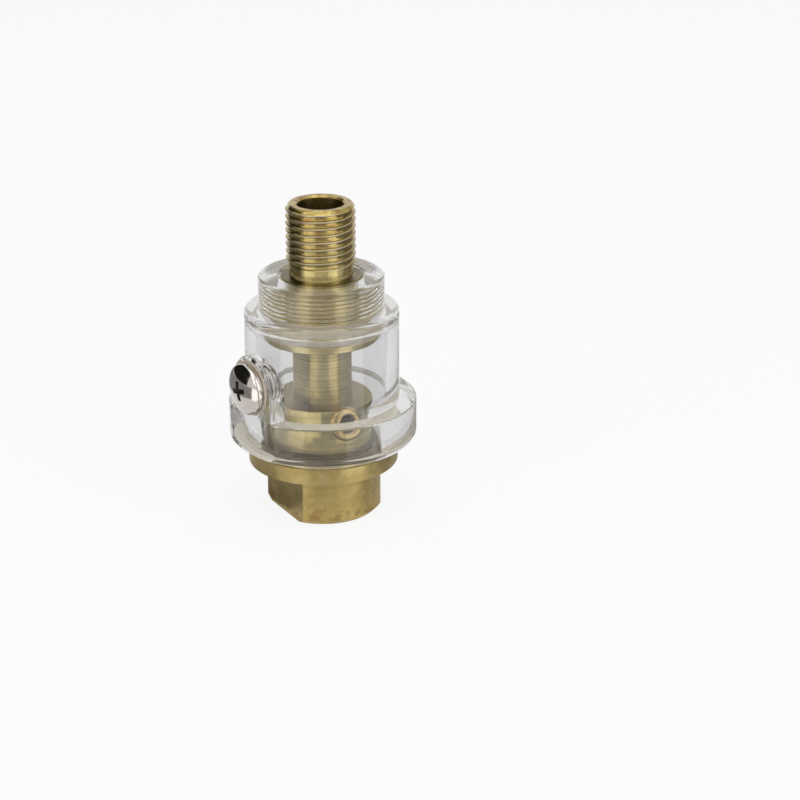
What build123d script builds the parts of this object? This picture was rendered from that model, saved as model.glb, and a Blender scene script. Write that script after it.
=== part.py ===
from build123d import *
from math import asin, cos, radians, sin, sqrt, tan
import os

# Small in-line air line lubricator: brass inlet below, clear oil bowl, brass outlet nipple on top.
# Millimetres, +Z up. The origin is the middle of the inlet's open end, on the air line's axis.
# The filler screw points to -Y.

# Pipe thread G1/4, at both ends
pipe_thread_major_r = 6.5785
pipe_thread_minor_r = 5.7225

# Inlet body
barrel_r = 11.25
barrel_length = 9.75
barrel_chamfer = 1.0
flats_across = 17.0
flats_turn = -8.0
inlet_thread_depth = 10.5
inlet_countersink = 0.4
drill_point_angle = 118.0
flange_r = 14.4
flange_thickness = 3.25
flange_edge = 0.25
drum_r = 9.6
undercut_depth = 1.1
undercut_height = 1.5
drum_height = 8.3
drum_low_edge = 0.8
drum_top_edge = 0.25
passage_r = 3.0

# Lower gasket, lying on the inlet flange
gasket_thickness = 1.2
gasket_inset = 0.3

# Clear bowl
bowl_low_bore_gap = 1.7
ledge_width = 1.0
bowl_wall = 2.45
band_stand_out = 3.25
shoulder_width = 2.75
band_height = 8.3
band_low_edge = 2.0
band_top_edge = 0.35
ledge_depth = 0.6
bowl_cavity_height = 24.0
bowl_roof = 2.6
bowl_shoulder_edge = 0.7
collar_height = 6.3
collar_edge = 1.5
collar_mouth = 0.4
roof_corner = 0.8

# Filler boss on the bowl's wall, and the screw that closes it
filler_height = 28.0
boss_half_width = 6.2
boss_depth = 1.75
boss_edge = 0.5
filler_thread_r = 2.5
filler_screw_length = 6.0
filler_head_r = 4.9
filler_head_height = 2.6
filler_head_rim = 1.2
filler_point = 0.5
cross_half_length = 2.4
cross_arm = 1.1
cross_depth = 1.7
cross_taper = 10.0
washer_r = 5.3
washer_thickness = 0.5

# Outlet stem
stem_stub_r = 4.5
stem_stub_length = 7.0
neck_r = 5.64
stem_flange_gap = 1.85
stem_flange_thickness = 1.45
stem_flange_edge = 0.25
bowl_thread_r = 8.0
spigot_r = 6.1
spigot_plain_length = 2.5
outlet_thread_length = 11.4
outlet_thread_chamfer = 0.7
outlet_bore_r = 4.4
outlet_bore_depth = 24.0
outlet_countersink = 0.35
pressure_hole_r = 0.5
pressure_hole_drop = 4.85

# Upper seal, between the stem's flange and the bowl's roof
upper_seal_thickness = 1.9

# Throat sleeve inside the stem
throat_outer_r = 3.6
throat_r = 1.9
throat_length = 8.5

# Metering screw in the drum's side, turned from the filler screw's side
metering_turn = 79.0
metering_cover = 0.3
metering_head_r = 2.8
metering_head_height = 1.4
metering_head_edge = 0.6
metering_thread_r = 2.0
metering_shank = 3.6
metering_needle = 0.7
metering_socket_across = 2.5
metering_socket_depth = 1.0
metering_seat_depth = 0.1
oil_hole_r = 0.6
ring_section_r = 0.35
ring_groove_r = 1.25
ring_groove_width = 0.8
ring_groove_start = 1.3

# Oil wick, in a cross hole from the drum's side to the metering screw's hole
wick_r = 0.7
wick_place_r = 6.2
wick_inset = 0.3

# Clearances
running_play = 0.05
press_play = 0.02
gasket_gap = 0.2
seal_gap = 0.6

# Radii and heights that follow from the sizes
undercut_r = drum_r - undercut_depth
bowl_low_bore_r = drum_r + bowl_low_bore_gap
bowl_bore_r = bowl_low_bore_r + ledge_width
bowl_outer_r = bowl_bore_r + bowl_wall
collar_r = bowl_outer_r - shoulder_width
gasket_inner_r = bowl_low_bore_r + gasket_gap
gasket_outer_r = flange_r - gasket_inset
stem_flange_r = bowl_bore_r - stem_flange_gap
upper_seal_inner_r = bowl_thread_r + seal_gap
upper_seal_outer_r = stem_flange_r - running_play
band_r = bowl_outer_r + band_stand_out
boss_face = bowl_outer_r + boss_depth
flange_top = barrel_length + flange_thickness
bowl_bottom = flange_top + gasket_thickness
drum_bottom = flange_top + undercut_height
drum_top = drum_bottom + drum_height
band_top = bowl_bottom + band_height
roof_low = bowl_bottom + bowl_cavity_height
roof_top = roof_low + bowl_roof
collar_top = roof_top + collar_height
stub_bottom = drum_top - stem_stub_length
outlet_start = collar_top + spigot_plain_length
outlet_top = outlet_start + outlet_thread_length
stem_flange_top = roof_low - upper_seal_thickness
stem_flange_low = stem_flange_top - stem_flange_thickness
pressure_hole_height = stem_flange_low - pressure_hole_drop
metering_height = drum_top - metering_thread_r - metering_cover
outlet_bore_bottom = outlet_top - outlet_bore_depth
drill_rise = tan(radians(90 - drill_point_angle / 2))


def facing(turn, distance, height):
    """A plane that faces straight out from the air line, turned this many degrees from -Y towards +X."""
    a = radians(turn)
    out = Vector(sin(a), -cos(a), 0)
    return Plane(origin=(out.X * distance, out.Y * distance, height), x_dir=(cos(a), sin(a), 0), z_dir=out)


def corner(sketch, r, height):
    """The corner of a turned outline at this radius and height."""
    return sketch.vertices().sort_by_distance((r, height, 0))[0]


# The metering screw sits on a flat as wide as its head, and the filler boss stands out from the wall
metering_seat = sqrt(drum_r**2 - metering_head_r**2) - metering_seat_depth
metering_plane = facing(metering_turn, metering_seat, metering_height)
filler_plane = facing(0, boss_face, filler_height)
metering_side = Plane(origin=metering_plane.origin, x_dir=metering_plane.x_dir, z_dir=-metering_plane.y_dir)
wick_start = facing(metering_turn, wick_place_r, metering_height)
wick_plane = Plane(origin=wick_start.origin, x_dir=(0, 0, 1), z_dir=wick_start.x_dir)
wick_end = sqrt(drum_r**2 - wick_place_r**2)

# Inlet body: barrel with spanner flats, flange, and the drum that stands inside the bowl
with BuildPart() as inlet_body:
    with BuildSketch(Plane.XZ) as body_outline:
        with BuildLine():
            Polyline(
                (0, 0),
                (barrel_r - barrel_chamfer, 0),
                (barrel_r, barrel_chamfer),
                (barrel_r, barrel_length),
                (flange_r, barrel_length),
                (flange_r, flange_top),
                (undercut_r, flange_top),
                (undercut_r, drum_bottom),
                (drum_r, drum_bottom),
                (drum_r, drum_top),
                (0, drum_top),
                close=True,
            )
        make_face()
        fillet(corner(body_outline, drum_r, drum_bottom), drum_low_edge)
        chamfer(corner(body_outline, drum_r, drum_top), drum_top_edge)
        chamfer(corner(body_outline, flange_r, barrel_length), flange_edge)
        chamfer(corner(body_outline, flange_r, flange_top), flange_edge)
    revolve(axis=Axis.Z)
    # spanner flats, as deep as the barrel is long
    with BuildSketch(Plane.XY) as flats:
        Circle(barrel_r * 2)
        Rectangle(barrel_r * 5, flats_across, rotation=flats_turn, mode=Mode.SUBTRACT)
    extrude(amount=barrel_length, mode=Mode.SUBTRACT)
    # pipe thread, drill point, air passage and the socket for the stem
    with BuildSketch(Plane.XZ):
        with BuildLine():
            Polyline(
                (0, 0),
                (pipe_thread_minor_r + inlet_countersink, 0),
                (pipe_thread_minor_r, inlet_countersink),
                (pipe_thread_minor_r, inlet_thread_depth),
                (passage_r, inlet_thread_depth + (pipe_thread_minor_r - passage_r) * drill_rise),
                (passage_r, stub_bottom),
                (stem_stub_r + press_play, stub_bottom),
                (stem_stub_r + press_play, drum_top),
                (0, drum_top),
                close=True,
            )
        make_face()
    revolve(axis=Axis.Z, mode=Mode.SUBTRACT)
    # flat seat and tapped hole for the metering screw
    with BuildSketch(metering_plane):
        Circle(metering_head_r + running_play)
    extrude(amount=drum_r, mode=Mode.SUBTRACT)
    with BuildSketch(metering_plane):
        Circle(metering_thread_r + running_play)
    extrude(amount=-(metering_shank + running_play), mode=Mode.SUBTRACT)
    with BuildSketch(metering_plane):
        Circle(oil_hole_r)
    extrude(amount=-metering_seat, mode=Mode.SUBTRACT)
    # cross hole for the wick, from the metering screw's hole out through the drum's side
    with BuildSketch(wick_plane):
        Circle(wick_r + press_play)
    extrude(amount=drum_r, mode=Mode.SUBTRACT)
inlet_body.part.label = "inlet_body"

# Outlet stem: stub in the drum, neck, flange under the bowl's roof, bowl thread and pipe nipple
with BuildPart() as outlet_stem:
    with BuildSketch(Plane.XZ) as stem_outline:
        with BuildLine():
            Polyline(
                (0, stub_bottom),
                (stem_stub_r, stub_bottom),
                (stem_stub_r, drum_top),
                (neck_r, drum_top),
                (neck_r, stem_flange_low),
                (stem_flange_r, stem_flange_low),
                (stem_flange_r, stem_flange_top),
                (bowl_thread_r, stem_flange_top),
                (bowl_thread_r, collar_top),
                (spigot_r, collar_top),
                (spigot_r, outlet_start),
                (pipe_thread_major_r, outlet_start),
                (pipe_thread_major_r, outlet_top),
                (0, outlet_top),
                close=True,
            )
        make_face()
        chamfer(corner(stem_outline, stem_flange_r, stem_flange_low), stem_flange_edge)
        chamfer(corner(stem_outline, stem_flange_r, stem_flange_top), stem_flange_edge)
        chamfer(corner(stem_outline, pipe_thread_major_r, outlet_top), outlet_thread_chamfer)
    revolve(axis=Axis.Z)
    # air passage: seat for the throat sleeve, neck, then the nipple's bore
    with BuildSketch(Plane.XZ):
        with BuildLine():
            Polyline(
                (0, stub_bottom),
                (throat_outer_r + press_play, stub_bottom),
                (throat_outer_r + press_play, stub_bottom + throat_length),
                (passage_r, stub_bottom + throat_length),
                (passage_r, outlet_bore_bottom - (outlet_bore_r - passage_r) * drill_rise),
                (outlet_bore_r, outlet_bore_bottom),
                (outlet_bore_r, outlet_top - outlet_countersink),
                (outlet_bore_r + outlet_countersink, outlet_top),
                (0, outlet_top),
                close=True,
            )
        make_face()
    revolve(axis=Axis.Z, mode=Mode.SUBTRACT)
    # oil hole in the stub, and the small hole at the back that lets line pressure into the bowl
    with BuildSketch(facing(metering_turn, 0, metering_height)):
        Circle(oil_hole_r)
    extrude(amount=neck_r, mode=Mode.SUBTRACT)
    with BuildSketch(facing(metering_turn + 180, 0, pressure_hole_height)):
        Circle(pressure_hole_r)
    extrude(amount=neck_r * 1.5, mode=Mode.SUBTRACT)
outlet_stem.part.label = "outlet_stem"

# Throat sleeve, narrow in the middle where the oil enters the air
with BuildPart() as throat_sleeve:
    with BuildSketch(Plane.XZ):
        with BuildLine():
            Polyline(
                (throat_outer_r, stub_bottom),
                (throat_outer_r, stub_bottom + throat_length),
                (passage_r, stub_bottom + throat_length),
                (throat_r, metering_height + oil_hole_r),
                (throat_r, metering_height - oil_hole_r),
                (passage_r, stub_bottom),
                close=True,
            )
        make_face()
    revolve(axis=Axis.Z)
    with BuildSketch(facing(metering_turn, 0, metering_height)):
        Circle(oil_hole_r)
    extrude(amount=throat_outer_r * 2, mode=Mode.SUBTRACT)
throat_sleeve.part.label = "throat_sleeve"

# Clear bowl: band, wall, shoulder and collar turned in one, with an arch-topped filler boss
with BuildPart() as bowl:
    with BuildSketch(Plane.XZ) as bowl_outline:
        with BuildLine():
            Polyline(
                (0, bowl_bottom),
                (band_r, bowl_bottom),
                (band_r, band_top),
                (bowl_outer_r, band_top),
                (bowl_outer_r, roof_top),
                (collar_r, roof_top),
                (collar_r, collar_top),
                (0, collar_top),
                close=True,
            )
        make_face()
        fillet(corner(bowl_outline, band_r, bowl_bottom), band_low_edge)
        fillet(corner(bowl_outline, band_r, band_top), band_top_edge)
        fillet(corner(bowl_outline, bowl_outer_r, roof_top), bowl_shoulder_edge)
        fillet(corner(bowl_outline, collar_r, collar_top), collar_edge)
    revolve(axis=Axis.Z)
    # filler boss: an arch on straight sides that run down into the band
    with BuildSketch(filler_plane):
        Circle(boss_half_width)
        with Locations((0, (band_top - filler_height) / 2 - band_top_edge)):
            Rectangle(boss_half_width * 2, filler_height - band_top + band_top_edge * 2)
    extrude(amount=-(boss_face - bowl_bore_r * cos(asin(boss_half_width / bowl_bore_r))))
    boss_front = bowl.faces().filter_by(Axis.Y).sort_by(Axis.Y)[0]
    fillet(boss_front.edges().filter_by_position(Axis.Z, band_top + band_top_edge * 2, roof_top), boss_edge)
    # the boss's face runs on down as a flat on the band
    with BuildSketch(filler_plane):
        Rectangle(band_r * 2, filler_height * 2)
    extrude(amount=band_r, mode=Mode.SUBTRACT)
    # the inside: lower bore, ledge, oil space, roof and the collar's threaded bore
    with BuildSketch(Plane.XZ) as bowl_inside:
        with BuildLine():
            Polyline(
                (0, bowl_bottom),
                (bowl_low_bore_r, bowl_bottom),
                (bowl_low_bore_r, band_top - ledge_depth),
                (bowl_bore_r, band_top + ledge_depth),
                (bowl_bore_r, roof_low),
                (bowl_thread_r + running_play, roof_low),
                (bowl_thread_r + running_play, collar_top - collar_mouth),
                (bowl_thread_r + running_play + collar_mouth, collar_top),
                (0, collar_top),
                close=True,
            )
        make_face()
        fillet(corner(bowl_inside, bowl_bore_r, roof_low), roof_corner)
    revolve(axis=Axis.Z, mode=Mode.SUBTRACT)
    # tapped filler hole
    with BuildSketch(filler_plane):
        Circle(filler_thread_r + running_play)
    extrude(amount=-boss_face / 2, mode=Mode.SUBTRACT)
bowl.part.label = "bowl"

with BuildPart() as lower_gasket:
    with BuildSketch(Plane.XY.offset(flange_top)):
        Circle(gasket_outer_r)
        Circle(gasket_inner_r, mode=Mode.SUBTRACT)
    extrude(amount=gasket_thickness)
lower_gasket.part.label = "lower_gasket"

with BuildPart() as upper_seal:
    with BuildSketch(Plane.XY.offset(stem_flange_top)):
        Circle(upper_seal_outer_r)
        Circle(upper_seal_inner_r, mode=Mode.SUBTRACT)
    extrude(amount=upper_seal_thickness)
upper_seal.part.label = "upper_seal"

# Filler screw: domed head with a cross recess, on a plane that faces out of the boss
head_plane = facing(0, boss_face + washer_thickness, filler_height)
dome_rise = filler_head_height - filler_head_rim
dome_r = (filler_head_r**2 + dome_rise**2) / (2 * dome_rise)
head_side = Plane(origin=head_plane.origin, x_dir=head_plane.x_dir, z_dir=-head_plane.y_dir)
with BuildPart() as filler_screw:
    with BuildSketch(head_side):
        with BuildLine():
            shank = Polyline(
                (0, filler_head_height),
                (0, -filler_screw_length),
                (filler_thread_r - filler_point, -filler_screw_length),
                (filler_thread_r, -filler_screw_length + filler_point),
                (filler_thread_r, 0),
                (filler_head_r, 0),
                (filler_head_r, filler_head_rim),
            )
            RadiusArc(shank @ 1, shank @ 0, -dome_r)
        make_face()
    revolve(axis=Axis(head_plane.origin, head_plane.z_dir))
    with BuildSketch(head_plane.offset(filler_head_height)):
        Rectangle(cross_half_length * 2, cross_arm)
        Rectangle(cross_arm, cross_half_length * 2)
    extrude(amount=-cross_depth, taper=cross_taper, mode=Mode.SUBTRACT)
filler_screw.part.label = "filler_screw"

with BuildPart() as filler_washer:
    with BuildSketch(filler_plane):
        Circle(washer_r)
        Circle(filler_thread_r + running_play, mode=Mode.SUBTRACT)
    extrude(amount=washer_thickness)
filler_washer.part.label = "filler_washer"

# Metering screw: button head with a hexagon socket, shank with a ring groove, and a needle point
with BuildPart() as metering_screw:
    with BuildSketch(metering_side):
        with BuildLine():
            Polyline(
                (0, metering_head_height),
                (0, -metering_shank),
                (metering_thread_r - metering_needle, -metering_shank + running_play),
                (metering_thread_r, -metering_shank + metering_needle),
                (metering_thread_r, -ring_groove_start - ring_groove_width),
                (ring_groove_r, -ring_groove_start - ring_groove_width),
                (ring_groove_r, -ring_groove_start),
                (metering_thread_r, -ring_groove_start),
                (metering_thread_r, 0),
                (metering_head_r, 0),
                (metering_head_r, metering_head_height - metering_head_edge),
                (metering_head_r - metering_head_edge, metering_head_height),
                close=True,
            )
        make_face()
    revolve(axis=Axis(metering_plane.origin, metering_plane.z_dir))
    with BuildSketch(metering_plane.offset(metering_head_height)):
        RegularPolygon(metering_socket_across / 2, 6, major_radius=False)
    extrude(amount=-metering_socket_depth, mode=Mode.SUBTRACT)
metering_screw.part.label = "metering_screw"

ring_x = ring_groove_r + press_play + ring_section_r
with BuildPart() as metering_ring:
    with BuildSketch(metering_side):
        with Locations((ring_x, -ring_groove_start - ring_groove_width / 2)):
            Circle(ring_section_r)
    revolve(axis=Axis(metering_plane.origin, metering_plane.z_dir))
metering_ring.part.label = "metering_ring"

wick_inner_end = metering_thread_r + wick_inset
with BuildPart() as oil_wick:
    with BuildSketch(wick_plane.offset(wick_inner_end)):
        Circle(wick_r)
    extrude(amount=wick_end - wick_inset * 2 - wick_inner_end)
oil_wick.part.label = "oil_wick"

os.makedirs("parts", exist_ok=True)
export_step(inlet_body.part, "parts/inlet_body.step")
export_step(outlet_stem.part, "parts/outlet_stem.step")
export_step(throat_sleeve.part, "parts/throat_sleeve.step")
export_step(bowl.part, "parts/bowl.step")
export_step(lower_gasket.part, "parts/lower_gasket.step")
export_step(upper_seal.part, "parts/upper_seal.step")
export_step(filler_screw.part, "parts/filler_screw.step")
export_step(filler_washer.part, "parts/filler_washer.step")
export_step(metering_screw.part, "parts/metering_screw.step")
export_step(metering_ring.part, "parts/metering_ring.step")
export_step(oil_wick.part, "parts/oil_wick.step")
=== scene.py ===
from math import asin, cos, pi, radians, sin, sqrt, tau

import bmesh
import bpy
from mathutils import Matrix, Vector


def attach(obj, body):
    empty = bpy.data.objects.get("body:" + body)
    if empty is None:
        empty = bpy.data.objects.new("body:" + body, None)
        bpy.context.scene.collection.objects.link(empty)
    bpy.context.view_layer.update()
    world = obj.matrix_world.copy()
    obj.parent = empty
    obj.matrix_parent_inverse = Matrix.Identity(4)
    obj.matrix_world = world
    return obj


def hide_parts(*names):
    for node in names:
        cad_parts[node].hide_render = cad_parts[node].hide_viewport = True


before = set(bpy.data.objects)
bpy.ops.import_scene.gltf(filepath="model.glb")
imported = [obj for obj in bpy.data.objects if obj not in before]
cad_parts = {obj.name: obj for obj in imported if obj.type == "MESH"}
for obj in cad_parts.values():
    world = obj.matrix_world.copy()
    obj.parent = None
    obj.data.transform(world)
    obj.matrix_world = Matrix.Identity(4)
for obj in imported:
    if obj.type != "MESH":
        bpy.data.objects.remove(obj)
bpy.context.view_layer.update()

# Sizes in millimetres and degrees, as the part's source has them. A finished piece is scaled to metres.
MM = 0.001

# Play between pieces, and how far a cutting tool runs past the face that it cuts
RUNNING_PLAY = 0.05
PRESS_PLAY = 0.02
PAST = 1.0

# How near a face's middle comes to a height or a radius and still counts as past it or short of it
NEAR = 0.05

# Inlet body
BARREL_R = 11.25
BARREL_LENGTH = 9.75
BARREL_CHAMFER = 1.0
FLATS_ACROSS = 17.0
FLATS_TURN = -8.0
FLANGE_R = 14.4
FLANGE_TOP = 13.0
FLANGE_LOW_EDGE = 0.3
FLANGE_TOP_EDGE = 0.25
UNDERCUT_R = 8.8
DRUM_R = 9.6
DRUM_LOW = 14.1
DRUM_TOP = 22.8
DRUM_LOW_EDGE = 0.5
DRUM_TOP_EDGE = 0.25
PASSAGE_R = 3.0

# Pipe thread, and the inlet's bore behind it
PIPE_MAJOR_R = 6.5785
PIPE_MINOR_R = 5.7225
PIPE_PITCH = 1.337
INLET_THREAD_DEPTH = 10.5
INLET_BORE_R = 5.6225
INLET_BORE_PAST = 0.1
INLET_COUNTERSINK = 0.7
INLET_COUNTERSINK_WIDTH = 2.3
DRILL_POINT = 1.7

# Gasket on the inlet flange and seal under the bowl's roof; both go a little way into the plastic
GASKET_R = 14.1
GASKET_LOW = FLANGE_TOP
GASKET_TOP = 14.2
GASKET_LOW_EDGE = 0.2
GASKET_TOP_EDGE = 0.3
SEAL_INNER_R = 8.6
SEAL_R = 10.4
SEAL_LOW = 36.3
SEAL_TOP = 38.2
SEAL_EDGE = 0.3
SEAL_BITE = 0.35

# Clear bowl
BAND_R = 18.0
BAND_TOP = 22.5
BAND_LOW_EDGE = 2.0
BAND_TOP_EDGE = 0.35
BOWL_R = 14.75
BOWL_BORE_R = 12.3
BOWL_LOW_BORE_R = 11.3
LEDGE = 1.6
LEDGE_EDGE = 0.8
ROOF_CORNER = 1.5
ROOF_TOP = 40.8
SHOULDER_EDGE = 1.2
COLLAR_R = 12.0
COLLAR_TOP = 47.1
COLLAR_EDGE = 0.7
COLLAR_THREAD_R = 8.05
COLLAR_ROOT_R = 7.7
COLLAR_PITCH = 0.8
COLLAR_TAP_PAST = 0.5
COLLAR_MOUTH_DEPTH = 0.63
COLLAR_MOUTH_LOW_R = 7.45
COLLAR_MOUTH_PAST = 0.35
COLLAR_MOUTH_R = 8.85

# Filler boss, washer and filler screw
BOSS_FACE = 16.5
BOSS_HALF_WIDTH = 6.2
BOSS_DEPTH = 6.0
BOSS_EDGE = 0.5
FILLER_HEIGHT = 28.0
FILLER_TAP_DEPTH = 8.0
WASHER_R = 5.3
WASHER_THICKNESS = 0.5
WASHER_PLAY = 0.03
WASHER_EDGE = 0.12
SCREW_R = 2.5
SCREW_ROOT_R = 2.05
SCREW_PITCH = 0.8
SCREW_LENGTH = 6.0
SCREW_THREAD_START = 0.5
HEAD_R = 4.9
HEAD_HEIGHT = 2.6
HEAD_RIM = 1.2
HEAD_LOW_EDGE = 0.2
HEAD_RIM_EDGE = 0.3
DOME_STEPS = 12
CROSS_LENGTH = 5.2
CROSS_ARM = 1.15
CROSS_BLADE = 3.0
CROSS_BLADE_DROP = 0.6
CROSS_POINT = (0.25, 0.55, 1.0)
CROSS_TURN = 12.0
# the cross recess gets painted shade out to this radius, up to just under the dome's face
CROSS_SHADE_R = 2.9
CROSS_SHADE_LEAST_DEPTH = 0.04

# Outlet stem
STUB_R = 4.5
STUB_LOW = 15.8
NECK_R = 5.64
STEM_FLANGE_R = 10.45
STEM_FLANGE_LOW = 34.85
STEM_FLANGE_EDGE = 0.25
STEM_THREAD_R = 8.0
STEM_THREAD_ROOT_R = 7.6
STEM_THREAD_CORE_R = 7.45
STEM_THREAD_START = 1.2
STEM_THREAD_CHAMFER = 0.5
STEM_SHOULDER = 46.9
SHOULDER_ROOT = 46.6
# heights between which the upward faces round the collar's mouth get painted shade
SHOULDER_SHADE_LOW = 45.0
SHOULDER_SHADE_HIGH = 48.5
SPIGOT_R = 6.1
SPIGOT_EDGE = 0.3
SPIGOT_TOP = 49.9
OUTLET_ROOT_R = 6.16
OUTLET_CORE_R = 6.06
OUTLET_CORE_DROP = 0.2
OUTLET_LOW = 49.6
OUTLET_TOP = 61.0
OUTLET_CHAMFER = 0.75
OUTLET_BORE_R = 4.4
OUTLET_BORE_LOW = 37.0
OUTLET_BORE_POINT = 0.85
OUTLET_COUNTERSINK = 0.35

# Metering screw in the drum's side
METERING_TURN = 79.0
METERING_HEIGHT = 20.5
METERING_SEAT = 9.08
METERING_SEAT_CUT = 4.0
METERING_HEAD_R = 3.0
METERING_HEAD_HEIGHT = 1.4
METERING_HEAD_EDGE = 0.9
METERING_SHANK_R = 2.0
METERING_SHANK = 3.6
METERING_NEEDLE = 0.7
RING_GROOVE_R = 1.25
RING_GROOVE_START = 1.3
RING_GROOVE_WIDTH = 0.8
SOCKET_R = 1.3
SOCKET_DEPTH = 2.1
# the hexagon socket gets painted shade out to this radius, between these heights along its axis
SOCKET_SHADE_R = 1.42
SOCKET_SHADE_LOW = -1.0
SOCKET_SHADE_HIGH = 1.05

# The socket's rounded mouth: radius, and height over the head's top
SOCKET_MOUTH = ((0, -0.7), (1.35, -0.7), (1.35, -0.45), (1.45, -0.2), (1.65, -0.04), (1.9, 0.1), (0, 0.1))

# One pitch of a thread, from root to root: share of the pitch, share of the rise
SHARP_TOOTH = (
    (0.0, 0.0), (0.1, 0.0), (0.19, 0.12), (0.41, 0.88), (0.5, 1.0), (0.6, 1.0), (0.69, 0.88), (0.91, 0.12)
)
WORN_TOOTH = (
    (0.0, 0.0), (0.2, 0.0), (0.34, 0.12), (0.48, 0.88), (0.53, 1.0), (0.6, 1.0), (0.65, 0.88), (0.79, 0.12)
)


# Shapes

def place_facing(turn, distance, height):
    """The place that faces straight out from the air line, turned this many degrees from -Y towards +X."""
    a = radians(turn)
    out = Vector((sin(a), -cos(a), 0.0))
    facing_out = Matrix(((cos(a), 0.0, out.x), (sin(a), 0.0, out.y), (0.0, 1.0, 0.0))).to_4x4()
    return Matrix.Translation((out.x * distance, out.y * distance, height)) @ facing_out


def into_scene(bm, name):
    """The mesh as an object in the scene."""
    mesh = bpy.data.meshes.new(name)
    bm.to_mesh(mesh)
    bm.free()
    piece = bpy.data.objects.new(name, mesh)
    bpy.context.scene.collection.objects.link(piece)
    return piece


def as_solid(bm, name):
    """The mesh as a closed solid, with its doubles merged and its faces turned outwards."""
    bmesh.ops.remove_doubles(bm, verts=bm.verts, dist=1e-4)
    stray = [e for e in bm.edges if not e.link_faces]
    bmesh.ops.delete(bm, geom=stray, context="EDGES")
    bmesh.ops.recalc_face_normals(bm, faces=bm.faces)
    if any(len(e.link_faces) != 2 for e in bm.edges):
        raise ValueError(f"{name} isn't a closed solid")
    return into_scene(bm, name)


def block(size, middle=(0, 0, 0)):
    """A box of this size round its middle."""
    bm = bmesh.new()
    bmesh.ops.create_cube(bm, size=1.0)
    bmesh.ops.scale(bm, vec=size, verts=bm.verts)
    bmesh.ops.translate(bm, vec=middle, verts=bm.verts)
    return bm


def turned(name, corners, steps=160, at=None):
    """A solid turned from a closed outline of (radius, height) corners.

    A third number rounds its corner.
    """
    bm = bmesh.new()
    points = [bm.verts.new((c[0], 0.0, c[1])) for c in corners]
    bm.faces.new(points)
    for point, c in zip(points, corners):
        if len(c) > 2:
            bmesh.ops.bevel(
                bm, geom=[point], offset=c[2], segments=5, profile=0.5, affect="VERTICES", material=-1
            )
    bmesh.ops.delete(bm, geom=list(bm.faces), context="FACES_ONLY")
    outline = list(bm.verts) + list(bm.edges)
    bmesh.ops.spin(
        bm, geom=outline, cent=(0, 0, 0), axis=(0, 0, 1), angle=tau, steps=steps, use_merge=True
    )
    if at is not None:
        bmesh.ops.transform(bm, matrix=at, verts=bm.verts)
    return as_solid(bm, name)


def rod(name, r, low, high, at):
    """A plain round rod, to cut a hole with."""
    return turned(name, ((0, low), (r, low), (r, high), (0, high)), steps=64, at=at)


def threaded(name, root_r, crest_r, pitch, low, high, lead_in=0.0, steps=96, at=None, tooth=SHARP_TOOTH):
    """A solid rod with a right-hand thread from low to high; lead_in chamfers its high end."""
    bm = bmesh.new()
    rise = crest_r - root_r
    turns = int((high - low) / pitch) + 3
    outline = []
    for turn in range(turns):
        for along, out in tooth:
            outline.append(bm.verts.new((root_r + rise * out, 0.0, low + (turn - 1.5 + along) * pitch)))
    edges = [bm.edges.new(pair) for pair in zip(outline, outline[1:])]
    climb = (0, 0, pitch / steps)
    bmesh.ops.spin(
        bm, geom=outline + edges, cent=(0, 0, 0), axis=(0, 0, 1), dvec=climb, angle=tau, steps=steps
    )
    bmesh.ops.remove_doubles(bm, verts=bm.verts, dist=2e-3)
    for height, upper in ((low, False), (high, True)):
        bmesh.ops.bisect_plane(
            bm,
            geom=list(bm.verts) + list(bm.edges) + list(bm.faces),
            dist=1e-3,
            plane_co=(0, 0, height),
            plane_no=(0, 0, 1),
            clear_outer=upper,
            clear_inner=not upper,
        )
    for point in bm.verts:
        limit = crest_r - max(0.0, point.co.z - (high - lead_in))
        if point.co.xy.length > limit:
            point.co.xy *= limit / point.co.xy.length
    for height in (low, high):
        rim = [e for e in bm.edges if e.is_boundary and abs(e.verts[0].co.z - height) < 1e-3]
        bmesh.ops.edgeloop_fill(bm, edges=rim)
    if at is not None:
        bmesh.ops.transform(bm, matrix=at, verts=bm.verts)
    return as_solid(bm, name)


def carve(piece, tool, operation="DIFFERENCE"):
    """Cuts the tool out of the piece, or joins it on with UNION, and uses the tool up."""
    step = piece.modifiers.new("carve", "BOOLEAN")
    step.operation = operation
    step.solver = "EXACT"
    step.object = tool
    bpy.context.view_layer.update()
    seen = piece.evaluated_get(bpy.context.evaluated_depsgraph_get())
    mesh = bpy.data.meshes.new_from_object(seen)
    piece.modifiers.clear()
    piece.data = mesh
    bpy.data.objects.remove(tool)


def fit(piece, nodes, body, material, sharp=35):
    """Scales a finished piece to metres, smooths its round faces and puts it on its CAD body."""
    piece.data.transform(Matrix.Scale(MM, 4))
    piece.data.shade_smooth()
    piece.data.set_sharp_from_angle(angle=radians(sharp))
    piece.data.materials.clear()
    piece.data.materials.append(material)
    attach(piece, body)
    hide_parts(*nodes)


def refinish(piece, material, picks):
    """Gives another material to the faces that picks says yes to."""
    piece.data.materials.append(material)
    for face in piece.data.polygons:
        if picks(face):
            face.material_index = len(piece.data.materials) - 1


def height_of(face):
    """A finished face's height, in millimetres."""
    return face.center.z / MM


def radius_of(face):
    """A finished face's distance from the air line, in millimetres."""
    return face.center.xy.length / MM


# Nodes

def new_material(name):
    """A material with its node tree and its main shader."""
    material = bpy.data.materials.new(name)
    material.use_nodes = True
    tree = material.node_tree
    return material, tree, tree.nodes["Principled BSDF"]


def add(tree, kind, inputs=None, **settings):
    """A node with its settings; each of its inputs is given a value or another node's output."""
    node = tree.nodes.new(kind)
    for key, value in settings.items():
        setattr(node, key, value)
    for key, value in (inputs or {}).items():
        if isinstance(value, bpy.types.NodeSocket):
            tree.links.new(value, node.inputs[key])
        else:
            node.inputs[key].default_value = value
    return node


def object_place(tree):
    """The place on the piece, in its own coordinates."""
    return add(tree, "ShaderNodeTexCoord").outputs["Object"]


def noise(tree, place, **values):
    """Noise over a place, with values for its sockets."""
    return add(tree, "ShaderNodeTexNoise", {"Vector": place, **values}).outputs["Fac"]


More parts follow.
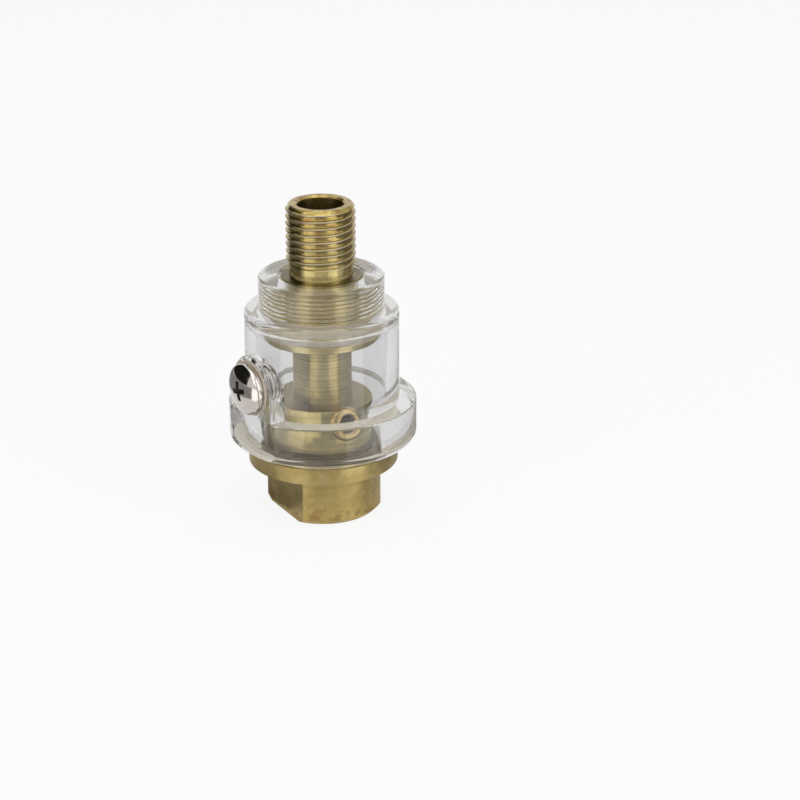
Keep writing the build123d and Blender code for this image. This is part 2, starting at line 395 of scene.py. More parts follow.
def spread(tree, source, low, high, start=0.0, end=1.0):
    """A value that runs from low to high while the source runs from start to end."""
    ends = {"Value": source, "From Min": start, "From Max": end, "To Min": low, "To Max": high}
    return add(tree, "ShaderNodeMapRange", ends).outputs["Result"]


def ramp(tree, source, stops):
    """A colour ramp over a source socket, with (place, colour) stops."""
    node = add(tree, "ShaderNodeValToRGB", {"Fac": source})
    band = node.color_ramp
    while len(band.elements) < len(stops):
        band.elements.new(0.5)
    for element, (at, colour) in zip(band.elements, stops):
        element.position = at
        element.color = (*colour, 1.0)
    return node.outputs["Color"]


def reckon(tree, operation, first, second):
    """A sum on two values, each a number or another node's output."""
    return add(tree, "ShaderNodeMath", {0: first, 1: second}, operation=operation).outputs["Value"]


def bump(tree, height, strength, distance, under=None):
    """A normal that follows the height, over the bump under it if there is one."""
    inputs = {"Height": height, "Strength": strength, "Distance": distance * MM}
    if under:
        inputs["Normal"] = under
    return add(tree, "ShaderNodeBump", inputs).outputs["Normal"]


def blend_to_output(tree, share, first, second):
    """Ends the material in a blend of two shaders; share is how much the second has."""
    blend = add(tree, "ShaderNodeMixShader", {0: share, 1: first, 2: second})
    tree.links.new(blend.outputs["Shader"], tree.nodes["Material Output"].inputs["Surface"])


def straight_or_shiny(tree):
    """1 for what the camera sees, straight on, through the plastic or in a gloss, and 0 for other light."""
    path = add(tree, "ShaderNodeLightPath")
    straight = reckon(
        tree, "MAXIMUM", path.outputs["Is Camera Ray"], path.outputs["Is Transmission Ray"]
    )
    return reckon(tree, "MAXIMUM", straight, path.outputs["Is Glossy Ray"])


def grey(level):
    return (level, level, level)


# Finishes

def turned_brass(name, dark, mid, light, roughness, marks, mark_size, ring_depth, stain=None):
    """Brass off the lathe: rings of fine tool marks round the air line, and tarnish in soft patches.

    marks is the strength of the rings as relief, and ring_depth as tone. stain is (height where it is
    weakest, height where it is strongest, least amount, most amount).
    """
    material, tree, surface = new_material(name)
    place = object_place(tree)
    flat = add(tree, "ShaderNodeVectorMath", {0: place, 1: (1.0, 1.0, 0.0)}, operation="MULTIPLY")
    radius = add(tree, "ShaderNodeVectorMath", {0: flat.outputs["Vector"]}, operation="LENGTH")
    height = add(tree, "ShaderNodeSeparateXYZ", {"Vector": place}).outputs["Z"]
    lathe = add(tree, "ShaderNodeCombineXYZ", {"X": radius.outputs["Value"], "Z": height})
    mark_scale = 1.0 / (mark_size * MM)
    rings = noise(tree, lathe.outputs["Vector"], Scale=mark_scale, Detail=3.0, Roughness=0.6)
    patches = noise(tree, place, Scale=260.0, Detail=4.0, Roughness=0.62, Distortion=0.4)
    pits = noise(tree, place, Scale=3200.0, Detail=2.0)
    tone = ramp(tree, patches, ((0.3, dark), (0.52, mid), (0.72, light)))
    ring_tone = ramp(tree, rings, ((0.36, grey(0.45)), (0.6, grey(1.0))))
    shade = add(
        tree,
        "ShaderNodeMix",
        {"Factor": ring_depth, "A": tone, "B": ring_tone},
        data_type="RGBA",
        blend_type="MULTIPLY",
    )
    colour = shade.outputs["Result"]
    if stain:
        spots = noise(tree, place, Scale=560.0, Detail=5.0, Roughness=0.7)
        cover = ramp(tree, spots, ((0.4, grey(0.5)), (0.62, grey(1.0))))
        tarnish = ramp(tree, spots, ((0.46, (0.42, 0.32, 0.09)), (0.6, (0.27, 0.14, 0.055))))
        clean, worn, least, most = stain
        amount = reckon(
            tree, "MULTIPLY", cover, spread(tree, height, least, most, clean * MM, worn * MM)
        )
        spotted = add(
            tree, "ShaderNodeMix", {"Factor": amount, "A": colour, "B": tarnish}, data_type="RGBA"
        )
        colour = spotted.outputs["Result"]
    tree.links.new(colour, surface.inputs["Base Color"])
    gloss = spread(tree, pits, roughness * 0.93, roughness * 1.2)
    tree.links.new(gloss, surface.inputs["Roughness"])
    grain = bump(tree, pits, 0.15, 0.03)
    tree.links.new(bump(tree, rings, marks, 0.12, under=grain), surface.inputs["Normal"])
    surface.inputs["Metallic"].default_value = 1.0
    surface.inputs["Anisotropic"].default_value = 0.8
    surface.inputs["Anisotropic Rotation"].default_value = 0.25
    around = add(tree, "ShaderNodeTangent", direction_type="RADIAL", axis="Z")
    tree.links.new(around.outputs["Tangent"], surface.inputs["Tangent"])
    return material


def clear_plastic():
    """Clear moulded plastic that lets the lamps through to the brass inside."""
    material, tree, surface = new_material("clear_plastic")
    surface.inputs["Transmission Weight"].default_value = 0.98
    surface.inputs["IOR"].default_value = 1.49
    place = object_place(tree)
    flow = noise(tree, place, Scale=120.0, Detail=2.0, Distortion=0.6)
    level = add(tree, "ShaderNodeSeparateXYZ", {"Vector": place}).outputs["Z"]
    # the collar is duller than the wall, and the band and the collar take up more light
    gloss = spread(tree, flow, 0.0, 0.02)
    dullness = spread(tree, level, 0.0, 0.07, SEAL_LOW * MM, (ROOF_TOP + 1.0) * MM)
    tree.links.new(reckon(tree, "ADD", gloss, dullness), surface.inputs["Roughness"])
    thick = (0.75, 0.75, 0.74)
    thin = (0.82, 0.82, 0.83)
    height = spread(tree, level, 0.0, 1.0, GASKET_TOP * MM, COLLAR_TOP * MM)
    tint = ramp(tree, height, ((0.25, thick), (0.3, thin), (0.67, thin), (0.8, thick)))
    tree.links.new(tint, surface.inputs["Base Color"])
    tree.links.new(bump(tree, flow, 0.1, 0.1), surface.inputs["Normal"])
    path = add(tree, "ShaderNodeLightPath")
    through = add(tree, "ShaderNodeBsdfTransparent", {"Color": (0.95, 0.95, 0.95, 1.0)})
    blend_to_output(
        tree, path.outputs["Is Shadow Ray"], surface.outputs["BSDF"], through.outputs["BSDF"]
    )
    return material


def plated_steel():
    """Nickel plating with a few faint scuffs."""
    material, tree, surface = new_material("plated_screw")
    scuffs = noise(tree, object_place(tree), Scale=900.0, Detail=6.0, Roughness=0.7, Distortion=1.2)
    tone = ramp(tree, scuffs, ((0.35, (0.5, 0.46, 0.42)), (0.6, (0.58, 0.54, 0.5))))
    tree.links.new(tone, surface.inputs["Base Color"])
    tree.links.new(spread(tree, scuffs, 0.07, 0.2, 0.4, 0.75), surface.inputs["Roughness"])
    surface.inputs["Metallic"].default_value = 1.0
    return material


def soft_seal(name, low, high, grain, roughness):
    """Matt rubber or fibre with a fine grain, coloured from low to high."""
    material, tree, surface = new_material(name)
    grains = noise(tree, object_place(tree), Scale=grain, Detail=5.0, Roughness=0.65)
    tree.links.new(ramp(tree, grains, ((0.35, low), (0.65, high))), surface.inputs["Base Color"])
    gloss = spread(tree, grains, roughness, roughness + 0.2)
    tree.links.new(gloss, surface.inputs["Roughness"])
    tree.links.new(bump(tree, grains, 0.3, 0.03), surface.inputs["Normal"])
    return material


barrel_brass = turned_brass(
    "barrel_brass",
    dark=(0.35, 0.26, 0.1),
    mid=(0.44, 0.34, 0.14),
    light=(0.53, 0.43, 0.2),
    roughness=0.42,
    marks=0.2,
    mark_size=0.45,
    ring_depth=0.2,
    stain=(5.5, 0.0, 0.12, 0.9),
)
stem_brass = turned_brass(
    "stem_brass",
    dark=(0.57, 0.455, 0.19),
    mid=(0.65, 0.535, 0.24),
    light=(0.74, 0.63, 0.32),
    roughness=0.3,
    marks=0.5,
    mark_size=0.36,
    ring_depth=0.75,
)
nipple_brass = turned_brass(
    "nipple_brass",
    dark=(0.37, 0.29, 0.11),
    mid=(0.43, 0.345, 0.14),
    light=(0.5, 0.42, 0.19),
    roughness=0.22,
    marks=0.4,
    mark_size=0.4,
    ring_depth=0.6,
    stain=(50.0, 59.5, 0.05, 1.0),
)
smooth_brass = turned_brass(
    "smooth_brass",
    dark=(0.46, 0.37, 0.15),
    mid=(0.57, 0.47, 0.2),
    light=(0.68, 0.58, 0.28),
    roughness=0.18,
    marks=0.22,
    mark_size=0.5,
    ring_depth=0.4,
)
screw_brass = turned_brass(
    "screw_brass",
    dark=(0.48, 0.35, 0.13),
    mid=(0.58, 0.44, 0.18),
    light=(0.7, 0.56, 0.26),
    roughness=0.14,
    marks=0.15,
    mark_size=0.4,
    ring_depth=0.2,
)
# painted shade: near-black brass for the upward faces round the collar's mouth
painted_shade_shoulder_brass = turned_brass(
    "painted_shade_shoulder_brass",
    dark=(0.09, 0.065, 0.022),
    mid=(0.2, 0.155, 0.055),
    light=(0.44, 0.36, 0.16),
    roughness=0.32,
    marks=0.5,
    mark_size=0.5,
    ring_depth=0.9,
)
# painted highlight: paler, greyer brass for the outlet thread's crests
painted_highlight_crest_brass = turned_brass(
    "painted_highlight_crest_brass",
    dark=(0.4, 0.35, 0.25),
    mid=(0.5, 0.45, 0.34),
    light=(0.6, 0.55, 0.45),
    roughness=0.42,
    marks=0.2,
    mark_size=0.4,
    ring_depth=0.3,
)
# painted shade: darker brass for the drum's top face round the neck
painted_shade_drum_top_brass = turned_brass(
    "painted_shade_drum_top_brass",
    dark=(0.24, 0.19, 0.08),
    mid=(0.31, 0.25, 0.105),
    light=(0.38, 0.315, 0.145),
    roughness=0.3,
    marks=0.2,
    mark_size=0.5,
    ring_depth=0.4,
)
# painted light: pale brass for the flange's top, the undercut and the drum's foot
painted_light_ledge_brass = turned_brass(
    "painted_light_ledge_brass",
    dark=(0.66, 0.6, 0.46),
    mid=(0.76, 0.7, 0.56),
    light=(0.86, 0.8, 0.68),
    roughness=0.4,
    marks=0.2,
    mark_size=0.5,
    ring_depth=0.3,
)
# painted shade: near-black for the cross recess and the hexagon socket
painted_recess_shade = soft_seal("painted_recess_shade", (0.012, 0.01, 0.007), (0.05, 0.045, 0.035), 2500.0, 0.45)
bowl_plastic = clear_plastic()
plating = plated_steel()
seal_rubber = soft_seal("pale_seal", (0.42, 0.37, 0.28), (0.55, 0.48, 0.37), 700.0, 0.5)
# the gasket is the seal's pale rubber painted lighter, as painted light
painted_light_gasket_rubber = soft_seal("painted_light_pale_gasket", (0.8, 0.73, 0.6), (0.93, 0.87, 0.75), 700.0, 0.5)
washer_fibre = soft_seal("fibre_washer", (0.4, 0.34, 0.27), (0.6, 0.53, 0.44), 1500.0, 0.6)
ring_rubber = soft_seal("black_rubber", grey(0.015), grey(0.035), 1500.0, 0.4)
wick_felt = soft_seal("felt", (0.55, 0.52, 0.45), (0.8, 0.77, 0.7), 3500.0, 0.85)

# Inlet body: barrel with flats, flange and drum, threaded for the air line
inlet = turned(
    "inlet_brass",
    (
        (0, 0),
        (BARREL_R - BARREL_CHAMFER, 0),
        (BARREL_R, BARREL_CHAMFER),
        (BARREL_R, BARREL_LENGTH),
        (FLANGE_R, BARREL_LENGTH, FLANGE_LOW_EDGE),
        (FLANGE_R, FLANGE_TOP, FLANGE_TOP_EDGE),
        (UNDERCUT_R, FLANGE_TOP),
        (UNDERCUT_R, DRUM_LOW),
        (DRUM_R, DRUM_LOW, DRUM_LOW_EDGE),
        (DRUM_R, DRUM_TOP, DRUM_TOP_EDGE),
        (0, DRUM_TOP),
    ),
)
for side in (-1, 1):
    bm = block(
        (BARREL_R * 4, BARREL_R, BARREL_LENGTH + 2 * PAST),
        middle=(0, side * (FLATS_ACROSS + BARREL_R) / 2, BARREL_LENGTH / 2 - PAST),
    )
    twist = Matrix.Rotation(radians(FLATS_TURN), 3, "Z")
    bmesh.ops.rotate(bm, cent=(0, 0, 0), matrix=twist, verts=bm.verts)
    carve(inlet, as_solid(bm, "spanner_flat"))
carve(inlet, threaded("pipe_tap", PIPE_MINOR_R, PIPE_MAJOR_R, PIPE_PITCH, -PAST, INLET_THREAD_DEPTH))
carve(
    inlet,
    turned(
        "inlet_bore",
        (
            (0, -2 * PAST),
            (PIPE_MAJOR_R + INLET_COUNTERSINK_WIDTH, -2 * PAST),
            (INLET_BORE_R, INLET_COUNTERSINK),
            (INLET_BORE_R, INLET_THREAD_DEPTH + INLET_BORE_PAST),
            (PASSAGE_R, INLET_THREAD_DEPTH + DRILL_POINT),
            (PASSAGE_R, STUB_LOW),
            (STUB_R + PRESS_PLAY, STUB_LOW),
            (STUB_R + PRESS_PLAY, DRUM_TOP + PAST),
            (0, DRUM_TOP + PAST),
        ),
        steps=96,
    ),
)
metering_seat = place_facing(METERING_TURN, METERING_SEAT, METERING_HEIGHT)
carve(inlet, rod("seat_cut", METERING_HEAD_R + RUNNING_PLAY, 0, METERING_SEAT_CUT, metering_seat))
tap_depth = METERING_SHANK + RUNNING_PLAY
carve(inlet, rod("tap_hole", METERING_SHANK_R + RUNNING_PLAY, -tap_depth, PAST, metering_seat))
fit(inlet, ["inlet_body"], "housing", barrel_brass)
refinish(inlet, smooth_brass, lambda face: height_of(face) > FLANGE_TOP + 2 * NEAR)


def under_drum(face):
    """The flange's top, the undercut and the drum's foot, inside the gasket, which get pale brass as
    painted light.
    """
    inside = radius_of(face) < BOWL_LOW_BORE_R + 2 * NEAR
    return inside and FLANGE_TOP - NEAR < height_of(face) < DRUM_LOW - NEAR


# painted light under the drum
refinish(inlet, painted_light_ledge_brass, under_drum)
# painted shade on the drum's top face
refinish(inlet, painted_shade_drum_top_brass, lambda face: face.normal.z > 0.9 and height_of(face) > DRUM_TOP - NEAR)

# Outlet stem: neck, flange, the thread that holds the bowl, and the pipe nipple
stem = turned(
    "outlet_brass",
    (
        (0, STUB_LOW),
        (STUB_R, STUB_LOW),
        (STUB_R, DRUM_TOP),
        (NECK_R, DRUM_TOP),
        (NECK_R, STEM_FLANGE_LOW),
        (STEM_FLANGE_R, STEM_FLANGE_LOW, STEM_FLANGE_EDGE),
        (STEM_FLANGE_R, SEAL_LOW, STEM_FLANGE_EDGE),
        (STEM_THREAD_CORE_R, SEAL_LOW),
        (STEM_THREAD_CORE_R, SHOULDER_ROOT),
        (SPIGOT_R, SHOULDER_ROOT, SPIGOT_EDGE),
        (SPIGOT_R, OUTLET_LOW - OUTLET_CORE_DROP),
        (OUTLET_CORE_R, OUTLET_LOW),
        (OUTLET_CORE_R, OUTLET_TOP - OUTLET_CORE_DROP),
        (0, OUTLET_TOP - OUTLET_CORE_DROP),
    ),
)
bowl_thread = threaded(
    "bowl_thread",
    STEM_THREAD_ROOT_R,
    STEM_THREAD_R,
    COLLAR_PITCH,
    SEAL_LOW + STEM_THREAD_START,
    STEM_SHOULDER,
    lead_in=STEM_THREAD_CHAMFER,
)
carve(stem, bowl_thread, "UNION")
pipe_thread = threaded(
    "pipe_thread",
    OUTLET_ROOT_R,
    PIPE_MAJOR_R,
    PIPE_PITCH,
    OUTLET_LOW,
    OUTLET_TOP,
    lead_in=OUTLET_CHAMFER,
    tooth=WORN_TOOTH,
)
carve(stem, pipe_thread, "UNION")
carve(
    stem,
    turned(
        "outlet_bore",
        (
            (0, STUB_LOW - PAST),
            (PASSAGE_R, STUB_LOW - PAST),
            (PASSAGE_R, OUTLET_BORE_LOW - OUTLET_BORE_POINT),
            (OUTLET_BORE_R, OUTLET_BORE_LOW),
            (OUTLET_BORE_R, OUTLET_TOP - OUTLET_COUNTERSINK),
            (OUTLET_BORE_R + 2 * OUTLET_COUNTERSINK, OUTLET_TOP + OUTLET_COUNTERSINK),
            (0, OUTLET_TOP + PAST),
        ),
        steps=96,
    ),
)
fit(stem, ["outlet_stem"], "housing", stem_brass)


def on_crest(face):
    """The tops of the outlet's thread, which get a paler, greyer brass as a painted highlight."""
    return height_of(face) > OUTLET_LOW and radius_of(face) > PIPE_MAJOR_R - 2 * NEAR


def on_shoulder(face):
    """What faces up round the collar's mouth, where the bowl's thread ends; its near-black brass is painted
    shade.
    """
    return face.normal.z > 0.5 and SHOULDER_SHADE_LOW < height_of(face) < SHOULDER_SHADE_HIGH


def on_spigot(face):
    """The plain round part between the shoulder and the outlet's thread."""
    return abs(face.normal.z) < 0.1 and STEM_SHOULDER < height_of(face) < SPIGOT_TOP


refinish(stem, nipple_brass, lambda face: height_of(face) > STEM_SHOULDER + 2 * NEAR)
# painted highlight on the thread's crests
refinish(stem, painted_highlight_crest_brass, on_crest)
# painted shade round the collar's mouth
refinish(stem, painted_shade_shoulder_brass, on_shoulder)
refinish(stem, smooth_brass, on_spigot)

# Clear bowl: band, wall, shoulder and collar, the filler boss, and both inner threads
bowl = turned(
    "clear_bowl",
    (
        (0, GASKET_TOP),
        (BAND_R, GASKET_TOP, BAND_LOW_EDGE),
        (BAND_R, BAND_TOP, BAND_TOP_EDGE),
        (BOWL_R, BAND_TOP),
        (BOWL_R, ROOF_TOP, SHOULDER_EDGE),
        (COLLAR_R, ROOF_TOP),
        (COLLAR_R, COLLAR_TOP, COLLAR_EDGE),
        (0, COLLAR_TOP),
    ),
    steps=192,
)
# the boss is an arch whose straight sides run down into the band
boss_front = place_facing(0, BOSS_FACE, FILLER_HEIGHT)
bm = bmesh.new()
bmesh.ops.create_circle(bm, cap_ends=True, segments=64, radius=BOSS_HALF_WIDTH)
foot = BAND_TOP - FILLER_HEIGHT - PAST
for point in bm.verts:
    if point.co.y < -1e-4:
        point.co.x = BOSS_HALF_WIDTH if point.co.x > 0 else -BOSS_HALF_WIDTH
        point.co.y = foot
bmesh.ops.remove_doubles(bm, verts=bm.verts, dist=1e-3)
made = bmesh.ops.extrude_face_region(bm, geom=list(bm.faces))
back_points = [v for v in made["geom"] if isinstance(v, bmesh.types.BMVert)]
bmesh.ops.translate(bm, vec=(0, 0, -BOSS_DEPTH), verts=back_points)
front_edges = [e for e in bm.edges if all(abs(v.co.z) < 1e-4 for v in e.verts)]
bmesh.ops.bevel(
    bm,
    geom=front_edges,
    offset=BOSS_EDGE,
    segments=4,
    profile=0.5,
    affect="EDGES",
    clamp_overlap=True,
    material=-1,
)
bmesh.ops.transform(bm, matrix=boss_front, verts=bm.verts)
carve(bowl, as_solid(bm, "filler_boss"), "UNION")
# the boss's face runs on down as a flat on the band
beyond_flat = block((2 * BAND_R, 2 * BAND_R, 2 * BAND_R), middle=(0, -BOSS_FACE - BAND_R, BAND_R))
carve(bowl, as_solid(beyond_flat, "band_flat"))
carve(
    bowl,
    turned(
        "bowl_inside",
        (
            (0, GASKET_TOP - PAST),
            (BOWL_LOW_BORE_R, GASKET_TOP - PAST),
            (BOWL_LOW_BORE_R, BAND_TOP - LEDGE, LEDGE_EDGE),
            (BOWL_BORE_R, BAND_TOP + LEDGE, LEDGE_EDGE),
            (BOWL_BORE_R, SEAL_TOP, ROOF_CORNER),
            (0, SEAL_TOP),
        ),
        steps=192,
    ),
)
collar_tap = threaded(
    "collar_tap",
    COLLAR_ROOT_R,
    COLLAR_THREAD_R,
    COLLAR_PITCH,
    SEAL_TOP - COLLAR_TAP_PAST,
    COLLAR_TOP + COLLAR_TAP_PAST,
)
carve(bowl, collar_tap)
carve(
    bowl,
    turned(
        "collar_mouth",
        (
            (0, COLLAR_TOP - COLLAR_MOUTH_DEPTH),
            (COLLAR_MOUTH_LOW_R, COLLAR_TOP - COLLAR_MOUTH_DEPTH),
            (COLLAR_MOUTH_R, COLLAR_TOP + COLLAR_MOUTH_PAST),
            (0, COLLAR_TOP + COLLAR_MOUTH_PAST),
        ),
        steps=96,
    ),
)
filler_tap = threaded(
    "filler_tap",
    SCREW_ROOT_R + RUNNING_PLAY,
    SCREW_R + RUNNING_PLAY,
    SCREW_PITCH,
    -FILLER_TAP_DEPTH,
    PAST,
    steps=48,
    at=boss_front,
)
carve(bowl, filler_tap)
fit(bowl, ["bowl"], "housing", bowl_plastic, sharp=28)

# Seals
gasket = turned(
    "gasket_ring",
    (
        (BOWL_LOW_BORE_R + RUNNING_PLAY, GASKET_LOW),
        (GASKET_R, GASKET_LOW, GASKET_LOW_EDGE),
        (GASKET_R, GASKET_TOP + SEAL_BITE, GASKET_TOP_EDGE),
        (BOWL_LOW_BORE_R + RUNNING_PLAY, GASKET_TOP + SEAL_BITE),
    ),
)
# its lighter rubber is painted light
fit(gasket, ["lower_gasket"], "housing", painted_light_gasket_rubber)
seal = turned(
    "seal_ring",
    (
        (SEAL_INNER_R, SEAL_LOW),
        (SEAL_R, SEAL_LOW, SEAL_EDGE),
        (SEAL_R, SEAL_TOP + SEAL_BITE, SEAL_EDGE),
        (SEAL_INNER_R, SEAL_TOP + SEAL_BITE),
    ),
)
fit(seal, ["upper_seal"], "housing", seal_rubber)
washer_top = WASHER_THICKNESS - WASHER_PLAY
washer_bore_r = SCREW_R + RUNNING_PLAY + WASHER_PLAY
washer = turned(
    "washer_fibre_ring",
    (
        (washer_bore_r, 0),
        (WASHER_R, 0, WASHER_EDGE),
        (WASHER_R, washer_top, WASHER_EDGE),
        (washer_bore_r, washer_top),
    ),
    steps=96,
    at=boss_front,
)
fit(washer, ["filler_washer"], "filler_travel", washer_fibre)

# Filler screw: domed head with a cross recess
screw_seat = place_facing(0, BOSS_FACE + WASHER_THICKNESS, FILLER_HEIGHT)
dome_rise = HEAD_HEIGHT - HEAD_RIM
dome_r = (HEAD_R**2 + dome_rise**2) / (2 * dome_rise)
dome_step = asin(HEAD_R / dome_r) / DOME_STEPS
dome = [
    (dome_r * sin(dome_step * step), HEAD_HEIGHT - dome_r * (1 - cos(dome_step * step)))
    for step in range(DOME_STEPS - 1, 0, -1)
]
screw = turned(
    "cross_screw",
    (
        (0, -PAST),
        (SCREW_ROOT_R, -PAST),
        (SCREW_ROOT_R, 0),
        (HEAD_R, 0, HEAD_LOW_EDGE),
        (HEAD_R, HEAD_RIM, HEAD_RIM_EDGE),
        *dome,
        (0, HEAD_HEIGHT),
    ),
    steps=96,
    at=screw_seat,
)
screw_thread = threaded(
    "screw_thread",
    SCREW_ROOT_R,
    SCREW_R,
    SCREW_PITCH,
    -SCREW_LENGTH,
    -SCREW_THREAD_START,
    steps=48,
    at=screw_seat,
)
carve(screw, screw_thread, "UNION")
for quarter in (0, 1):
    bm = block((CROSS_LENGTH, CROSS_ARM, CROSS_BLADE))
    bmesh.ops.scale(bm, vec=CROSS_POINT, verts=[v for v in bm.verts if v.co.z < 0])
    twist = Matrix.Rotation(radians(90 * quarter + CROSS_TURN), 3, "Z")
    bmesh.ops.rotate(bm, cent=(0, 0, 0), matrix=twist, verts=bm.verts)
    bmesh.ops.translate(bm, vec=(0, 0, HEAD_HEIGHT - CROSS_BLADE_DROP), verts=bm.verts)
    bmesh.ops.transform(bm, matrix=screw_seat, verts=bm.verts)
    carve(screw, as_solid(bm, "cross_blade"))
fit(screw, ["filler_screw"], "filler_turn", plating)


def in_recess(face):
    """Near the screw's axis, over its seat and under the dome: the cross recess, whose near-black colour is
    painted shade.
    """
    away = Vector((face.center.x / MM, height_of(face) - FILLER_HEIGHT)).length
    front = -face.center.y / MM - BOSS_FACE - WASHER_THICKNESS
    dome_front = HEAD_HEIGHT - dome_r + sqrt(max(dome_r**2 - away**2, 0))
    return away < CROSS_SHADE_R and 0 < front < dome_front - CROSS_SHADE_LEAST_DEPTH


# painted shade in the cross recess
refinish(screw, painted_recess_shade, in_recess)

# Metering screw: button head with a hexagon socket, and a shank with a groove for its ring
metering = turned(
    "metering_brass",
    (
        (0, METERING_HEAD_HEIGHT),
        (0, -METERING_SHANK),
        (METERING_SHANK_R - METERING_NEEDLE, -METERING_SHANK + RUNNING_PLAY),
        (METERING_SHANK_R, -METERING_SHANK + METERING_NEEDLE),
        (METERING_SHANK_R, -RING_GROOVE_START - RING_GROOVE_WIDTH),
        (RING_GROOVE_R, -RING_GROOVE_START - RING_GROOVE_WIDTH),
        (RING_GROOVE_R, -RING_GROOVE_START),
        (METERING_SHANK_R, -RING_GROOVE_START),
        (METERING_SHANK_R, 0),
        (METERING_HEAD_R, 0),
        (METERING_HEAD_R, METERING_HEAD_HEIGHT, METERING_HEAD_EDGE),
    ),
    steps=64,
    at=metering_seat,
)
bm = bmesh.new()
bmesh.ops.create_cone(
    bm, cap_ends=True, segments=6, radius1=SOCKET_R, radius2=SOCKET_R, depth=2 * SOCKET_DEPTH
)
bmesh.ops.translate(bm, vec=(0, 0, METERING_HEAD_HEIGHT), verts=bm.verts)
bmesh.ops.transform(bm, matrix=metering_seat, verts=bm.verts)
carve(metering, as_solid(bm, "socket"))
mouth = [(r, METERING_HEAD_HEIGHT + rise) for r, rise in SOCKET_MOUTH]
carve(metering, turned("socket_mouth", mouth, steps=64, at=metering_seat))
fit(metering, ["metering_screw"], "metering_turn", screw_brass)
metering_axis = metering_seat.to_3x3().col[2]


def in_socket(face):
    """Near the screw's axis and well below its head's face: the socket, whose near-black colour is painted
    shade.
    """
    out = face.center / MM - metering_seat.translation
    along = out.dot(metering_axis)
    away = (out - metering_axis * along).length
    return SOCKET_SHADE_LOW < along < SOCKET_SHADE_HIGH and away < SOCKET_SHADE_R


# painted shade in the socket
refinish(metering, painted_recess_shade, in_socket)

# CAD nodes that stay
for node, material in (
    ("throat_sleeve", stem_brass),
    ("metering_ring", ring_rubber),
    ("oil_wick", wick_felt),
):
    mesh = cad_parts[node].data
    mesh.materials.clear()
    mesh.materials.append(material)

# Camera at the photograph's angle, in metres and degrees; its lens and sensor are in millimetres
VIEW_TURN = 54.0
VIEW_RISE = 20.69
VIEW_ROLL = -0.75
VIEW_DISTANCE = 0.422
AIM = Vector((0.0, 0.0, 0.030))
LENS = 99.54
SENSOR_WIDTH = 36.0
SHIFT = (0.0972, -0.052)
CLIP_START = 0.01


def outward(turn, rise):
    """The way out from the part, turned from -Y towards +X and raised, in degrees."""
    a = radians(turn)
    e = radians(rise)
    return Vector((cos(e) * sin(a), -cos(e) * cos(a), sin(e)))


back = outward(VIEW_TURN, VIEW_RISE)
right = Vector((cos(radians(VIEW_TURN)), sin(radians(VIEW_TURN)), 0.0))
up = back.cross(right)
roll = radians(VIEW_ROLL)
tilted_right = cos(roll) * right + sin(roll) * up
tilted_up = cos(roll) * up - sin(roll) * right
facing = Matrix((tilted_right, tilted_up, back)).transposed().to_4x4()
camera = bpy.data.objects.new("camera", bpy.data.cameras.new("camera"))
bpy.context.scene.collection.objects.link(camera)
camera.matrix_world = Matrix.Translation(AIM + back * VIEW_DISTANCE) @ facing
camera.data.sensor_width = SENSOR_WIDTH
camera.data.lens = LENS
camera.data.shift_x, camera.data.shift_y = SHIFT
camera.data.clip_start = CLIP_START
bpy.context.scene.camera = camera


# Studio, in metres, turned from the camera's side and raised in degrees
FLOOR_CARD_HEIGHT = 0.0004


def stand(turn, rise, distance):
    """A place in the studio that faces the part."""
    out = outward(VIEW_TURN + turn, rise)
    return Matrix.Translation(AIM + out * distance) @ out.to_track_quat("Z", "Y").to_matrix().to_4x4()


def lamp(name, turn, rise, distance, width, height, level):
    """A soft box whose face is this bright."""
    light = bpy.data.lights.new(name, "AREA")
    light.shape = "RECTANGLE"
    light.size = width
    light.size_y = height
    light.energy = level * pi * width * height
    holder = bpy.data.objects.new(name, light)
    bpy.context.scene.collection.objects.link(holder)
    holder.matrix_world = stand(turn, rise, distance)


lamp("left_box", turn=-46, rise=28, distance=0.6, width=0.28, height=0.5, level=1.6)
lamp("right_box", turn=50, rise=28, distance=0.6, width=0.28, height=0.5, level=1.6)
lamp("top_box", turn=10, rise=82, distance=0.7, width=0.5, height=0.5, level=1.2)


def show_in_reflections(bm, name, level, outside=True, inside=True):
    """A studio card that shows only in the gloss of the metal, outside the clear bowl or inside it.

    Light that crosses the plastic four times has gone in to the metal and come out again. Two crossings
    are a glint in the plastic's own wall, and none means bare metal. The plastic and the straight view
    keep the white ground.
    """
    material, tree, surface = new_material(name)
    tree.nodes.remove(surface)
    glow = add(tree, "ShaderNodeEmission", {"Color": (*grey(level), 1.0)})
    unseen = add(tree, "ShaderNodeBsdfTransparent")
    path = add(tree, "ShaderNodeLightPath")
    crossings = path.outputs["Transmission Depth"]
    glossy = reckon(tree, "GREATER_THAN", path.outputs["Glossy Depth"], 0.5)
    bare = reckon(tree, "LESS_THAN", crossings, 0.5) if outside else 0.0
    covered = reckon(tree, "GREATER_THAN", crossings, 3.5) if inside else 0.0
    shown = reckon(tree, "MULTIPLY", glossy, reckon(tree, "ADD", bare, covered))
    blend_to_output(tree, shown, unseen.outputs["BSDF"], glow.outputs["Emission"])
    piece = into_scene(bm, name)
    piece.data.materials.append(material)
    piece.visible_camera = False
    piece.visible_diffuse = False
    piece.visible_shadow = False


def card(name, turn, rise, distance, width, height, level):
    """A card that stands beside the part, seen by the bare metal only."""
    bm = bmesh.new()
    bmesh.ops.create_grid(bm, x_segments=1, y_segments=1, size=0.5)
    bmesh.ops.scale(bm, vec=(width, height, 1.0), verts=bm.verts)
    bmesh.ops.transform(bm, matrix=stand(turn, rise, distance), verts=bm.verts)
    show_in_reflections(bm, name, level, inside=False)


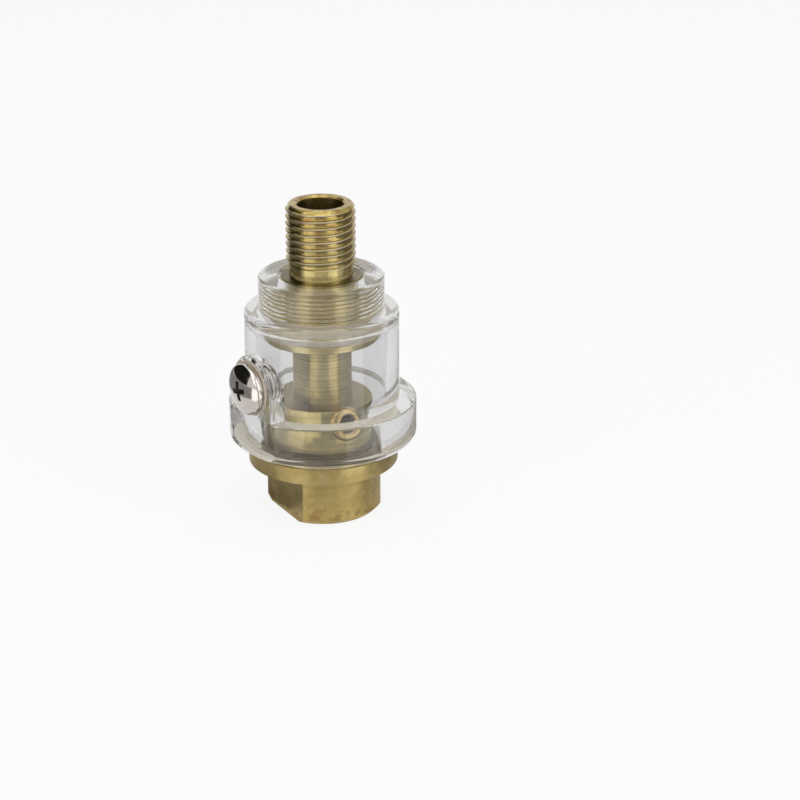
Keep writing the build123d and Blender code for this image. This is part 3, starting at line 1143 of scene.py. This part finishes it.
def floor_card(name, first_turn, last_turn, level, near=0.036, far=0.32, outside=True):
    """A card on the floor that fans out from the part between two turns from the camera's side."""
    bm = bmesh.new()
    a = radians(VIEW_TURN + first_turn)
    height = FLOOR_CARD_HEIGHT if outside else 2 * FLOOR_CARD_HEIGHT
    ends = [bm.verts.new((sin(a) * r, -cos(a) * r, height)) for r in (near, far)]
    edge = bm.edges.new(ends)
    sweep = radians(last_turn - first_turn)
    bmesh.ops.spin(bm, geom=[*ends, edge], cent=(0, 0, 0), axis=(0, 0, 1), angle=sweep, steps=16)
    show_in_reflections(bm, name, level, outside=outside)


floor_card("front_floor", -20, 24, level=0.6)
floor_card("left_bright_floor", -60, -20, level=1.85, near=0.062)
floor_card("drum_glow", -74, -4, level=2.1, near=0.042, far=0.068, outside=False)
floor_card("right_bright_floor", 24, 58, level=1.85)
floor_card("left_near_floor", -150, -60, level=0.28, near=0.009, far=0.03)
floor_card("left_side_floor", -150, -60, level=0.32, near=0.068)
floor_card("right_side_floor", 58, 150, level=0.25)
card("left_flag", turn=-104, rise=22, distance=0.13, width=0.175, height=0.13, level=0.015)
card("right_flag", turn=105, rise=14, distance=0.13, width=0.12, height=0.12, level=0.25)

# White ground: the camera, metal and plastic see it white, and the floor keeps a faint shadow
WHITE_SHARE = 0.88
FLOOR_HALF_WIDTH = 3.0
floor_material, tree, surface = new_material("floor")
tree.nodes.remove(surface)
share = reckon(tree, "MULTIPLY", straight_or_shiny(tree), WHITE_SHARE)
paper = add(tree, "ShaderNodeBsdfDiffuse", {"Color": (0.9, 0.9, 0.9, 1.0)})
white = add(tree, "ShaderNodeEmission", {"Color": (1.0, 1.0, 1.0, 1.0), "Strength": 1.0})
blend_to_output(tree, share, paper.outputs["BSDF"], white.outputs["Emission"])
bm = bmesh.new()
bmesh.ops.create_grid(bm, x_segments=8, y_segments=8, size=FLOOR_HALF_WIDTH)
floor = into_scene(bm, "floor")
floor.data.materials.append(floor_material)

# The world is white to look at and half as bright to light with
WORLD_LIGHT = 0.5
world = bpy.data.worlds.new("studio")
bpy.context.scene.world = world
world.use_nodes = True
tree = world.node_tree
sky = tree.nodes["Background"]
sky.inputs["Color"].default_value = (1.0, 1.0, 1.0, 1.0)
tree.links.new(spread(tree, straight_or_shiny(tree), WORLD_LIGHT, 1.0), sky.inputs["Strength"])

bpy.context.scene.view_settings.view_transform = "Standard"
# light runs round many times inside the clear band
light_paths = bpy.context.scene.cycles
light_paths.max_bounces = 32
light_paths.glossy_bounces = 24
light_paths.transmission_bounces = 32
